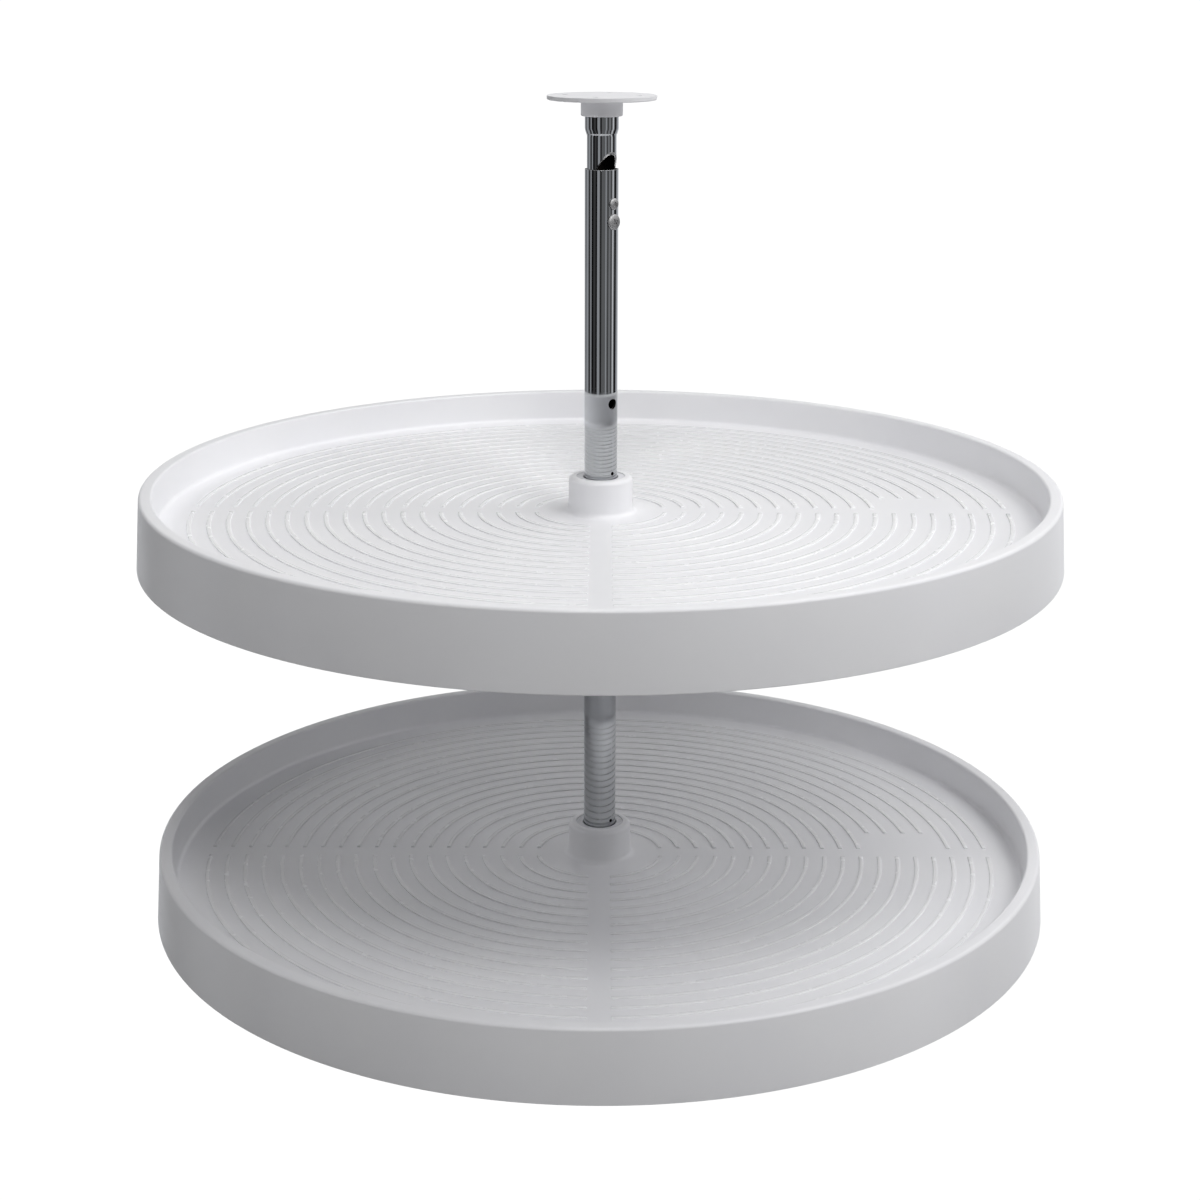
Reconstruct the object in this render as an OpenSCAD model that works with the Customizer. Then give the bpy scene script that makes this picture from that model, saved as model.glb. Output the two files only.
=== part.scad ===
// Two-tier rotating shelf unit for the inside of a pantry or corner cabinet:
// two round ribbed trays on a telescoping tube shaft, which stands in a ball
// bearing on the cabinet floor and turns in a flanged bearing at the ceiling.
// Millimetres, +Z up. The origin is on the cabinet floor, on the shaft's axis,
// and -Y is the side of the cabinet's door.

/* [Heights] */
// Cabinet floor to cabinet ceiling, as the shaft is set
height = 661.6; // [600:0.1:800]
// Distance from one tray up to the next
tray_spacing = 288; // [240:1:340]
// Plain narrow tube that shows above the outer tube
narrow_show = 23.7; // [22:0.1:60]
// How far the shaft can be shortened from here
travel_down = 20; // [5:1:21]

/* [Tray] */
// Outer radius at the top of the rim
tray_r = 351.5; // [290:0.5:430]
// Skirt's bottom edge to the top of the rim
tray_h = 55; // [45:0.1:70]
// How much wider the skirt is at its bottom edge
skirt_flare = 4.1; // [1:0.1:8]
// Width of the rim's flat lip
lip_w = 10; // [8:0.5:16]
// How far the rim's inner wall leans in towards the floor
rim_lean = 1.8; // [0.5:0.1:4]
// Wall of the rim
wall_t = 3; // [2:0.1:3.5]
// Top of the rim down to the tray's floor
floor_drop = 26.4; // [20:0.1:32]
// Thickness of the tray's floor
floor_t = 2.8; // [2:0.1:4]
// Round on the lip's outer edge
lip_outer_round = 2.8; // [1:0.1:3]
// Round on the lip's inner edge
lip_inner_round = 2; // [1:0.1:3]
// Fillet between the rim's inner wall and the floor
floor_fillet = 3; // [1:0.1:5]

/* [Anti-slip ribs] */
// Radius of the innermost rib's middle
rib_first_r = 46.5; // [40:0.5:60]
// Distance from one rib to the next
rib_pitch = 15; // [12:0.5:20]
// Least distance from the last rib's middle to the rim's wall
rib_margin = 18; // [12:1:30]
// Width of a rib at the floor
rib_base_w = 5.5; // [4:0.1:7]
// Width of a rib at its top
rib_top_w = 3.5; // [2:0.1:4]
// Height of a rib above the floor
rib_h = 1.2; // [0.6:0.1:2.5]
// Width of the four smooth lanes between the quarters of ribs
lane_w = 17; // [10:0.5:30]
// First rib that stops short beside the right-hand lane
bare_first_rib = 13; // [8:1:14]
// Last rib that stops short there
bare_last_rib = 16; // [14:1:17]
// Width of that bare patch, from the middle of the lane
bare_w = 41; // [20:1:60]

/* [Hub] */
// Wall of the hub round its bush, at the top
hub_wall = 5.85; // [4.5:0.05:9]
// How much wider the hub is at the tray's floor
hub_draft = 0.6; // [0:0.1:2]
// Hub's top above the top of the rim
hub_rise = 1.6; // [0:0.1:6]
// Round on the hub's top edge
hub_round = 3.5; // [1:0.1:4]
// Fillet between the hub and the tray's floor
hub_fillet = 4; // [1:0.1:8]
// Bottom face of the hub's bush above the skirt's bottom edge
hub_lift = 6; // [5:0.5:12]

/* [Underside ribs] */
// Long ribs from the hub to the skirt, with as many short ones between
spoke_count = 12; // [8:1:16]
// Thickness of an underside rib
spoke_t = 2.2; // [1.5:0.1:4]
// Bottom edge of a long rib above the hub's end
spoke_hub_rise = 2.3; // [1:0.1:5]
// Depth of a rib below the floor at the skirt
spoke_rim_depth = 9; // [5:0.5:14]
// Radius of the ring rib that the short ribs start from
ring_rib_r = 186; // [120:1:240]
// Depth of the ring rib below the floor
ring_rib_depth = 9; // [5:0.5:14]

/* [Shaft] */
// Outer diameter of the outer tube
tube_d = 25.4; // [24:0.1:31]
// Wall of the outer tube
tube_wall = 1.5; // [1:0.1:2]
// Wall of the inner tube
inner_wall = 1.2; // [0.8:0.1:1.5]
// Length of the cone where the inner tube widens to the outer tube's diameter
swage_cone = 5; // [4:0.1:10]
// Straight wide end of the inner tube that shows below the ceiling bearing
swage_show = 9.7; // [4:0.1:20]
// Direction that the clamp screws and the drilled holes face, from the right-hand side
face_angle = -45; // [-90:1:0]

/* [Clamp] */
// Outer tube's top edge down to the upper clamp screw
upper_screw_drop = 25; // [23:0.1:30]
// From the upper clamp screw down to the lower one
screw_pitch = 13.3; // [12:0.1:20]
// Head diameter of the upper clamp screw
upper_head_d = 8.5; // [7:0.1:10]
// Head height of the upper clamp screw
upper_head_h = 2.2; // [1.5:0.1:3]
// Shank diameter of the upper clamp screw
upper_shank_d = 4; // [3:0.1:5]
// Head diameter of the lower clamp screw
lower_head_d = 11.7; // [9:0.1:13]
// Head height of the lower clamp screw
lower_head_h = 3; // [2:0.1:4]
// Shank diameter of the lower clamp screw
lower_shank_d = 5; // [4:0.1:6]
// Milled slot's flat bottom from the shaft's axis
slot_flat = 3.9; // [2:0.1:6]
// Slope of the slot's ramped ends, from the shaft's axis
slot_ramp = 29.5; // [20:0.5:45]
// Top of the slot above the outer tube's top edge
slot_show = 13; // [10:0.5:20]
// Uncut length at the inner tube's lower end
slot_foot = 30.7; // [20:0.1:60]
// Upper hub's top to the inner tube's lower end with the shaft shortest
hub_room = 1.1; // [0.5:0.1:20]
// Thickness of the nut plate at its middle
nut_t = 2.85; // [2:0.05:3.5]
// Width of the nut plate
nut_w = 12; // [10:0.5:14]
// Nut plate beyond the screws at each end
nut_end = 8; // [6:0.5:10]

/* [Drilled holes] */
// Diameter of the large hole in the outer tube
big_hole_d = 8; // [5:0.1:10]
// Height of the large hole above the upper hub's top
big_hole_rise = 58; // [20:1:80]
// Diameter of the small hole above each hub
small_hole_d = 3; // [2:0.1:5]
// Height of the small hole above the hub's top
small_hole_rise = 3.5; // [3:0.1:10]

/* [Tray supports] */
// Radius of the pin through the shaft under each hub
pin_r = 2.5; // [2:0.1:3]
// How far the pin's ends stay inside the washer's edge
pin_inset = 2; // [1:0.1:4]
// Gap between the floor bearing's collar and the lower pin
pin_clear = 3.9; // [2:0.1:30]
// Thickness of the support washer that straddles the pin
washer_t = 5; // [4:0.1:6]
// How far the support washer is wider than the bush's flange
washer_rim = 0.5; // [0:0.1:2]
// Thickness of the bush's flange
bush_flange_t = 2.5; // [1.5:0.1:4]
// How far the bush's flange is wider than its body
bush_flange_w = 2.8; // [1.5:0.1:5]
// Wall of the bush's body, which is pressed into the hub
bush_wall = 5.95; // [4:0.05:8]
// How far the bush ends below the hub's top
bush_sink = 0.8; // [0.2:0.1:2]
// Gap round the tube at the bush's mouth
bush_mouth_gap = 1; // [0.5:0.1:2]
// Depth of the bush's mouth
bush_mouth_depth = 4; // [1:0.5:8]
// Length of the bush's running surface at each end
bush_land = 12; // [6:0.5:16]

/* [Bearings] */
// Radius of the flange that is screwed to the cabinet
flange_r = 40.75; // [38:0.25:50]
// Thickness of the floor bearing's flange
flange_t = 2.5; // [2:0.1:5]
// Thickness of the ceiling bearing's flange
top_flange_t = 3.2; // [2:0.1:5]
// Wall of the collar round the shaft
collar_wall = 2.9; // [2:0.1:4]
// Height of the ceiling bearing with its collar
top_bearing_h = 15; // [12:0.1:25]
// Height of the floor bearing with its collar
floor_bearing_h = 24; // [20:0.1:40]
// Radius of the circle of screw holes
screw_circle_r = 28; // [26:0.5:32]
// Number of screw holes
screw_count = 4; // [3:1:6]
// Diameter of a screw hole
screw_hole_d = 4.8; // [4:0.1:6]
// Diameter of its countersink
countersink_d = 8.8; // [7:0.1:9.6]
// Turn of the screw holes from the right-hand side
screw_turn = -10; // [-45:1:45]
// Radius of a bearing ball
ball_r = 2; // [1.5:0.1:2.5]
// Number of balls
ball_count = 8; // [6:1:9]
// Width of a race from its bore to its edge
race_w = 7.1; // [6:0.1:8]
// Thickness of a race
race_t = 2; // [1.5:0.1:3]
// Depth of a race's groove
groove_depth = 0.8; // [0.4:0.1:1]
// Thickness of the ball cage
cage_t = 1.4; // [0.8:0.1:1.6]
// Thickness of the end plug's flange under the outer tube
plug_flange_t = 1.5; // [1:0.1:3]
// Length of the end plug inside the outer tube
plug_len = 14; // [6:0.5:15]

/* [Clearances] */
// Radial gap between a turning piece and its bore
run_gap = 0.05; // [0.02:0.01:0.1]
// Radial gap between the two tubes
slide_gap = 0.1; // [0.05:0.01:0.1]
// Radial gap of a pressed or threaded piece
press_gap = 0.05; // [0.02:0.01:0.1]
// Gap between faces that rest and turn on each other
face_gap = 0.1; // [0.05:0.01:0.3]
// Free gap between pieces that pass each other
free_gap = 0.4; // [0.2:0.1:1]

/* [Hidden] */
$fn = 96;

// how deep a raised or joining feature is rooted in the wall that carries it
root = 0.5;
// how far a cutting shape reaches past what it cuts
over = 1;

// shaft radii
tube_r = tube_d / 2;
tube_bore_r = tube_r - tube_wall;
inner_r = tube_bore_r - slide_gap;
inner_bore_r = inner_r - inner_wall;

// floor bearing, from the cabinet floor up
lower_race_z = flange_t;
ball_z = lower_race_z + race_t - groove_depth + ball_r + face_gap;
upper_race_z = ball_z + ball_r + face_gap - groove_depth;
race_r = tube_r - free_gap;
race_bore_r = race_r - race_w;
ball_circle_r = race_r - race_w / 2;
plug_z = upper_race_z + race_t;
tube_z = plug_z + plug_flange_t;

// trays and what carries them
pin_drop = face_gap + washer_t;
lower_pin_z = floor_bearing_h + pin_clear + pin_r;
lower_tray_z = lower_pin_z + pin_drop - hub_lift;
upper_tray_z = lower_tray_z + tray_spacing;
upper_pin_z = lower_pin_z + tray_spacing;
floor_z = tray_h - floor_drop;
floor_under = floor_z - floor_t;
hub_top = tray_h + hub_rise;
hub_end = hub_lift + bush_flange_t;
bush_r = tube_r + run_gap + bush_wall;
bush_flange_r = bush_r + bush_flange_w;
washer_r = bush_flange_r + washer_rim;
pin_len = 2 * (washer_r - pin_inset);
hub_bore_r = bush_r + press_gap;
hub_r = hub_bore_r + hub_wall;
inner_top_r = tray_r - lip_w;
inner_low_r = inner_top_r - rim_lean;
rib_count = floor((inner_low_r - rib_margin - rib_first_r) / rib_pitch) + 1;

// telescoping shaft, from the ceiling down
swage_end_z = height - top_flange_t - free_gap;
swage_z = height - top_bearing_h - swage_show;
cone_z = swage_z - swage_cone;
tube_top = cone_z - narrow_show;
upper_screw_z = tube_top - upper_screw_drop;
lower_screw_z = upper_screw_z - screw_pitch;
inner_z = upper_tray_z + hub_top + travel_down + hub_room;
nut_flat = tube_bore_r - press_gap - nut_t;
slot_runout = (inner_r - slot_flat) / tan(slot_ramp);
slot_top = tube_top + slot_show;
slot_low = inner_z + slot_foot;

// ---- shared shapes ----

function unit(v) = v / norm(v);

// the sliver between the edges p-a and p-b and a circle of radius r that touches
// both: taken off an outer corner it rounds it, added in an inner one it fillets it
module corner(a, p, b, r) {
    u = unit(a - p);
    w = unit(b - p);
    half = acos(u * w) / 2;
    centre = p + unit(u + w) * r / sin(half);
    reach = r / tan(half);
    difference() {
        polygon([p, p + u * reach, centre, p + w * reach]);
        translate(centre) circle(r);
    }
}

// turns the +X axis to the side that the screws and holes face
module facing(z) {
    translate([0, 0, z]) rotate([0, 0, face_angle]) children();
}

// a hole along the facing direction, through one wall of the shaft or both
module cross_hole(r, z, both) {
    length = tube_r + over;
    start = both ? -length : 0;
    facing(z) translate([start, 0, 0]) rotate([0, 90, 0]) cylinder(r = r, h = length - start);
}

module clamp_screw_holes() {
    cross_hole(upper_shank_d / 2 + press_gap, upper_screw_z, false);
    cross_hole(lower_shank_d / 2 + press_gap, lower_screw_z, false);
}

module ring(outer, inner, h) {
    difference() {
        cylinder(r = outer, h = h);
        translate([0, 0, -over]) cylinder(r = inner, h = h + 2 * over);
    }
}

// ---- tray ----

// half section of the tray: hub, floor, rim wall, lip and outer skirt
module tray_section() {
    skirt_low = [tray_r + skirt_flare, 0];
    lip_outer = [tray_r, tray_h];
    lip_inner = [inner_top_r, tray_h];
    rim_foot = [inner_low_r, floor_z];
    hub_root = [hub_r + hub_draft, floor_z];
    hub_edge = [hub_r, hub_top];
    bore_top = [hub_bore_r, hub_top];
    difference() {
        union() {
            polygon([
                [hub_bore_r, hub_end], [hub_r, hub_end],
                [hub_r + hub_draft, floor_under], [inner_low_r + wall_t, floor_under],
                [inner_top_r + wall_t, tray_h - wall_t], [tray_r - wall_t, tray_h - wall_t],
                skirt_low - [wall_t, 0], skirt_low, lip_outer, lip_inner, rim_foot,
                hub_root, hub_edge, bore_top]);
            corner(lip_inner, rim_foot, hub_root, floor_fillet);
            corner(rim_foot, hub_root, hub_edge, hub_fillet);
        }
        corner(skirt_low, lip_outer, lip_inner, lip_outer_round);
        corner(lip_outer, lip_inner, rim_foot, lip_inner_round);
        corner(hub_root, hub_edge, bore_top, hub_round);
    }
}

// raised rings on the floor, parted into quarters by the smooth lanes
module floor_ribs() {
    side = (rib_base_w - rib_top_w) / 2;
    base = rib_base_w / 2 + side * root / rib_h;
    difference() {
        rotate_extrude()
            for (k = [0 : rib_count - 1])
                translate([rib_first_r + k * rib_pitch, floor_z])
                    polygon([[-base, -root], [base, -root], [rib_top_w / 2, rib_h], [-rib_top_w / 2, rib_h]]);
        for (turn = [0, 90])
            rotate([0, 0, turn]) translate([-tray_r, -lane_w / 2, 0]) cube([2 * tray_r, lane_w, tray_h]);
        bare_patch();
    }
}

// the ribs stop short here, in the back right quarter beside the lane
module bare_patch() {
    from_r = rib_first_r + (bare_first_rib - 1.5) * rib_pitch;
    to_r = rib_first_r + (bare_last_rib - 0.5) * rib_pitch;
    translate([from_r, 0, 0]) cube([to_r - from_r, bare_w, tray_h]);
}

// middle of the skirt's wall at height z
function skirt_r(z) = tray_r - wall_t / 2 + skirt_flare * (tray_h - z) / tray_h;

// one underside rib from radius r, where its bottom edge is at z, out under the rim
module underside_rib(r, z) {
    low = floor_under - spoke_rim_depth;
    high = floor_under + root;
    lip = tray_h - wall_t + root;
    rotate([90, 0, 0])
        translate([0, 0, -spoke_t / 2])
            linear_extrude(height = spoke_t)
                polygon([[r, z], [skirt_r(low), low], [skirt_r(lip), lip],
                    [inner_top_r + wall_t / 2, lip], [inner_low_r + wall_t / 2, high], [r, high]]);
}

module underside_ribs() {
    step = 360 / spoke_count;
    ring_z = floor_under - ring_rib_depth;
    for (k = [0 : spoke_count - 1]) {
        rotate([0, 0, k * step]) underside_rib(hub_r - hub_wall / 2, hub_end + spoke_hub_rise);
        rotate([0, 0, (k + 0.5) * step]) underside_rib(ring_rib_r, ring_z);
    }
    translate([0, 0, ring_z])
        ring(ring_rib_r + spoke_t / 2, ring_rib_r - spoke_t / 2, ring_rib_depth + root);
}

module tray() {
    color("white") {
        rotate_extrude() tray_section();
        floor_ribs();
        underside_ribs();
    }
}

module lower_tray() {
    translate([0, 0, lower_tray_z]) tray();
}

module upper_tray() {
    translate([0, 0, upper_tray_z]) tray();
}

// ---- hub bush, washer and pin that carry a tray ----

// flanged bush pressed up into the hub, relieved between its two running lands
module hub_bush() {
    run_r = tube_r + run_gap;
    mouth_r = tube_r + bush_mouth_gap;
    relief_r = run_r + bush_mouth_gap / 2;
    low = hub_lift;
    top = hub_top - bush_sink;
    mouth_z = top - bush_mouth_depth;
    color("gainsboro")
        rotate_extrude()
            polygon([
                [run_r, low], [bush_flange_r, low], [bush_flange_r, low + bush_flange_t - press_gap],
                [bush_r, low + bush_flange_t - press_gap], [bush_r, top], [mouth_r, top],
                [mouth_r, mouth_z], [run_r, mouth_z], [run_r, mouth_z - bush_land],
                [relief_r, mouth_z - bush_land], [relief_r, low + bush_land], [run_r, low + bush_land]]);
}

module lower_hub_bush() {
    translate([0, 0, lower_tray_z]) hub_bush();
}

module upper_hub_bush() {
    translate([0, 0, upper_tray_z]) hub_bush();
}

// washer that lies on the pin with a half-round groove and turns with the shaft
module support_washer(pin_z) {
    color("ivory")
        difference() {
            translate([0, 0, pin_z]) ring(washer_r, tube_r + free_gap / 2, washer_t);
            facing(pin_z)
                translate([-washer_r - over, 0, 0])
                    rotate([0, 90, 0]) cylinder(r = pin_r + press_gap, h = 2 * (washer_r + over));
        }
}

module lower_support_washer() {
    support_washer(lower_pin_z);
}

module upper_support_washer() {
    support_washer(upper_pin_z);
}

// pin through both walls of the shaft, with chamfered ends
module support_pin(pin_z) {
    chamfer = pin_r / 5;
    color("silver")
        facing(pin_z)
            translate([-pin_len / 2, 0, 0])
                rotate([0, 90, 0])
                    rotate_extrude()
                        polygon([[0, 0], [pin_r - chamfer, 0], [pin_r, chamfer],
                            [pin_r, pin_len - chamfer], [pin_r - chamfer, pin_len], [0, pin_len]]);
}

module lower_support_pin() {
    support_pin(lower_pin_z);
}

module upper_support_pin() {
    support_pin(upper_pin_z);
}

// ---- shaft ----

module outer_tube() {
    chamfer = tube_wall / 5;
    color("silver")
        difference() {
            rotate_extrude()
                polygon([
                    [tube_bore_r, tube_z], [tube_r, tube_z], [tube_r, tube_top - chamfer],
                    [tube_r - chamfer, tube_top], [tube_bore_r, tube_top]]);
            for (z = [lower_pin_z, upper_pin_z])
                cross_hole(pin_r + press_gap, z, true);
            for (z = [lower_tray_z, upper_tray_z])
                cross_hole(small_hole_d / 2, z + hub_top + small_hole_rise, false);
            cross_hole(big_hole_d / 2, upper_tray_z + hub_top + big_hole_rise, false);
            clamp_screw_holes();
        }
}

// side view of the milled slot: a flat bottom that ramps out at both ends
module slot_section() {
    low = slot_low + slot_runout;
    high = slot_top - slot_runout;
    edge = tube_r + over;
    reach = (edge - slot_flat) / tan(slot_ramp);
    polygon([[slot_flat, low], [edge, low - reach], [edge, high + reach], [slot_flat, high]]);
}

// narrow tube whose upper end is swaged out to the outer tube's diameter
module inner_tube() {
    color("silver")
        difference() {
            rotate_extrude()
                polygon([
                    [inner_bore_r, inner_z], [inner_r, inner_z], [inner_r, cone_z], [tube_r, swage_z],
                    [tube_r, swage_end_z], [tube_r - inner_wall, swage_end_z],
                    [tube_r - inner_wall, swage_z], [inner_bore_r, cone_z]]);
            facing(0)
                rotate([90, 0, 0])
                    translate([0, 0, -tube_d])
                        linear_extrude(height = 2 * tube_d) slot_section();
        }
}

// plug pressed into the shaft's lower end, with a nose that centres the upper race
module shaft_end_plug() {
    spigot_r = tube_bore_r - press_gap;
    nose_r = race_bore_r - press_gap;
    bore_r = nose_r / 2;
    color("ivory")
        rotate_extrude()
            polygon([
                [bore_r, upper_race_z], [nose_r, upper_race_z], [nose_r, plug_z],
                [tube_r - free_gap / 2, plug_z], [tube_r - free_gap / 2, tube_z], [spigot_r, tube_z],
                [spigot_r, tube_z + plug_len], [bore_r, tube_z + plug_len]]);
}

// curved plate inside the outer tube that the clamp screws are threaded into
module clamp_nut_plate() {
    low = lower_screw_z - nut_end;
    h = upper_screw_z + nut_end - low;
    color("silver")
        difference() {
            intersection() {
                translate([0, 0, low]) cylinder(r = tube_bore_r - press_gap, h = h);
                facing(low) translate([nut_flat, -nut_w / 2, 0]) cube([tube_r, nut_w, h]);
            }
            clamp_screw_holes();
        }
}

// pan-head screw whose tip stops just short of the inner tube's far wall
module clamp_screw(head_r, head_h, shank_r, z) {
    seat = tube_r + press_gap;
    tip = inner_bore_r - free_gap;
    crown = head_h * 0.75;
    recess_w = head_r / 4;
    recess_l = head_r * 1.1;
    color("lightgray")
        facing(z)
            rotate([0, 90, 0])
                difference() {
                    rotate_extrude()
                        difference() {
                            polygon([
                                [0, -tip], [shank_r * 0.8, -tip], [shank_r, -tip + shank_r * 0.4],
                                [shank_r, seat], [head_r, seat], [head_r, seat + head_h], [0, seat + head_h]]);
                            corner([0, seat + head_h], [head_r, seat + head_h], [head_r, seat], crown);
                        }
                    for (turn = [0, 90])
                        rotate([0, 0, turn])
                            translate([-recess_l / 2, -recess_w / 2, seat + head_h / 2])
                                cube([recess_l, recess_w, head_h]);
                }
}

module upper_clamp_screw() {
    clamp_screw(upper_head_d / 2, upper_head_h, upper_shank_d / 2, upper_screw_z);
}

module lower_clamp_screw() {
    clamp_screw(lower_head_d / 2, lower_head_h, lower_shank_d / 2, lower_screw_z);
}

// ---- bearings ----

// round flange of thickness t with a collar, standing on z = 0, closed at the bottom
module bearing_housing(h, t) {
    bore_r = tube_r + run_gap;
    collar_r = bore_r + collar_wall;
    edge = t / 3;
    flange_top = [flange_r, t];
    collar_foot = [collar_r, t];
    collar_top = [collar_r, h];
    bore_top = [bore_r, h];
    difference() {
        rotate_extrude()
            difference() {
                union() {
                    polygon([
                        [0, 0], [flange_r, 0], flange_top, collar_foot, collar_top, bore_top,
                        [bore_r, t], [0, t]]);
                    corner(flange_top, collar_foot, collar_top, edge);
                }
                corner(collar_foot, flange_top, [flange_r, 0], edge);
                corner(collar_foot, collar_top, bore_top, edge);
            }
        for (k = [0 : screw_count - 1])
            rotate([0, 0, screw_turn + k * 360 / screw_count])
                translate([screw_circle_r, 0, 0])
                    countersunk_hole(t);
    }
}

module countersunk_hole(t) {
    sink = (countersink_d - screw_hole_d) / 2;
    translate([0, 0, -over]) cylinder(d = screw_hole_d, h = t + 2 * over);
    translate([0, 0, t - sink])
        cylinder(r1 = screw_hole_d / 2, r2 = countersink_d / 2 + over, h = sink + over);
}

module floor_bearing_base() {
    color("white") bearing_housing(floor_bearing_h, flange_t);
}

module ceiling_bearing() {
    color("white") translate([0, 0, height]) mirror([0, 0, 1]) bearing_housing(top_bearing_h, top_flange_t);
}

// thrust washer with a round groove for the balls in its upper face
module race() {
    difference() {
        ring(race_r, race_bore_r, race_t);
        translate([0, 0, race_t - groove_depth + ball_r + face_gap])
            rotate_extrude()
                translate([ball_circle_r, 0]) circle(ball_r + face_gap);
    }
}

module lower_race() {
    color("silver") translate([0, 0, lower_race_z]) race();
}

module upper_race() {
    color("silver") translate([0, 0, plug_z]) mirror([0, 0, 1]) race();
}

module bearing_balls() {
    color("silver")
        for (k = [0 : ball_count - 1])
            rotate([0, 0, k * 360 / ball_count])
                translate([ball_circle_r, 0, ball_z]) sphere(r = ball_r);
}

module ball_cage() {
    color("ivory")
        translate([0, 0, ball_z - cage_t / 2])
            difference() {
                ring(race_r - free_gap, race_bore_r + free_gap, cage_t);
                for (k = [0 : ball_count - 1])
                    rotate([0, 0, k * 360 / ball_count])
                        translate([ball_circle_r, 0, -over])
                            cylinder(r = ball_r + 2 * face_gap, h = cage_t + 2 * over);
            }
}

floor_bearing_base();
lower_race();
ball_cage();
bearing_balls();
upper_race();
shaft_end_plug();
outer_tube();
lower_support_pin();
lower_support_washer();
lower_hub_bush();
lower_tray();
upper_support_pin();
upper_support_washer();
upper_hub_bush();
upper_tray();
clamp_nut_plate();
upper_clamp_screw();
lower_clamp_screw();
inner_tube();
ceiling_bearing();
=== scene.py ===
from math import acos, atan2, cos, pi, radians, sin, tan

import bmesh
import bpy
from mathutils import Matrix, Vector


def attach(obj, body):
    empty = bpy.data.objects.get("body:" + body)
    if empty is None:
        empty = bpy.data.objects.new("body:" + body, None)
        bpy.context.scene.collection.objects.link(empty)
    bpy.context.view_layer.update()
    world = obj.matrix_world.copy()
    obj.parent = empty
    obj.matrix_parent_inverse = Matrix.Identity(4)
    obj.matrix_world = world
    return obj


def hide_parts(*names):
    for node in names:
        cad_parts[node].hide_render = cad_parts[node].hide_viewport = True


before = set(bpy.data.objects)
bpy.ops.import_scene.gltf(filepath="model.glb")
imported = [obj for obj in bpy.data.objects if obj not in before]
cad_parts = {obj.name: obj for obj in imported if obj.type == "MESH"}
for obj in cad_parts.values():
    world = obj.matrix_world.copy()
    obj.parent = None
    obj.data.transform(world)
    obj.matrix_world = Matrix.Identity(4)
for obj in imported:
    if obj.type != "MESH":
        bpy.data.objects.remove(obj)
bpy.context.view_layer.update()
scene = bpy.context.scene
mm = 0.001
sharpAbove = radians(32)  # edges steeper than this stay crisp
patchEdges = (0.3, 0.7)  # noise levels at which a patch is all light or all dark


def hexToLinear(code):
    # sRGB hex to the linear values that shaders want
    channels = [int(code[i:i + 2], 16) / 255 for i in (1, 3, 5)]
    linear = [c / 12.92 if c <= 0.04045 else ((c + 0.055) / 1.055) ** 2.4 for c in channels]
    return (*linear, 1.0)


def addNode(tree, kind, inputs=None, **settings):
    # a node with its settings; an input takes a number or the socket that feeds it
    node = tree.nodes.new(kind)
    for name, value in settings.items():
        setattr(node, name, value)
    for socket, value in (inputs or {}).items():
        if isinstance(value, bpy.types.NodeSocket):
            tree.links.new(value, node.inputs[socket])
        else:
            node.inputs[socket].default_value = value
    return node


def roundedSection(corners, steps=6):
    # corners as (radius, height, round) in mm, to a closed outline with arcs for the rounds
    outline = []
    for i, (r, z, rounding) in enumerate(corners):
        here = Vector((r, z))
        if not rounding:
            outline.append((r, z))
            continue
        toPrev = (Vector(corners[i - 1][:2]) - here).normalized()
        toNext = (Vector(corners[(i + 1) % len(corners)][:2]) - here).normalized()
        half = acos(max(-1, min(1, toPrev.dot(toNext)))) / 2
        centre = here + (toPrev + toNext).normalized() * rounding / sin(half)
        start = here + toPrev * rounding / tan(half) - centre
        end = here + toNext * rounding / tan(half) - centre
        turn = atan2(start.x * end.y - start.y * end.x, start.dot(end))
        for k in range(steps + 1):
            a = turn * k / steps
            outline.append((centre.x + start.x * cos(a) - start.y * sin(a),
                            centre.y + start.x * sin(a) + start.y * cos(a)))
    return outline


def turnedMesh(name, outline, segments, lift=0.0):
    # a closed outline of (radius, height) in mm, turned round the shaft's axis
    bm = bmesh.new()
    rings = []
    for r, z in outline:
        height = (z + lift) * mm
        if r == 0:
            rings.append([bm.verts.new((0, 0, height))] * segments)
        else:
            rings.append([bm.verts.new((r * mm * cos(2 * pi * k / segments),
                                        r * mm * sin(2 * pi * k / segments), height))
                          for k in range(segments)])
    for ring, after in zip(rings, rings[1:] + rings[:1]):
        for k in range(segments):
            n = (k + 1) % segments
            corners = list(dict.fromkeys((ring[k], ring[n], after[n], after[k])))
            if len(corners) > 2:
                bm.faces.new(corners)
    bmesh.ops.recalc_face_normals(bm, faces=bm.faces)
    return meshObject(name, bm)


def meshObject(name, bm=None):
    # an object at the origin, with the worked-out shape or with an empty mesh for node trees
    mesh = bpy.data.meshes.new(name)
    if bm is not None:
        bm.to_mesh(mesh)
        bm.free()
        mesh.shade_smooth()
        mesh.set_sharp_from_angle(angle=sharpAbove)
    obj = bpy.data.objects.new(name, mesh)
    scene.collection.objects.link(obj)
    return obj


def cutAway(obj, cutters):
    # takes the cutters' volume out of a piece and drops the cutters
    for cutter in cutters:
        cut = obj.modifiers.new("cut", "BOOLEAN")
        cut.object, cut.operation, cut.solver = cutter, "DIFFERENCE", "EXACT"
    bakeModifiers(obj)
    for cutter in cutters:
        bpy.data.objects.remove(cutter)


def bakeModifiers(obj):
    # the evaluated shape becomes the plain mesh
    evaluated = obj.evaluated_get(bpy.context.evaluated_depsgraph_get())
    mesh = bpy.data.meshes.new_from_object(evaluated)
    obj.modifiers.clear()
    old, obj.data = obj.data, mesh
    bpy.data.meshes.remove(old)
    mesh.name = obj.name
    mesh.shade_smooth()
    mesh.set_sharp_from_angle(angle=sharpAbove)


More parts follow.
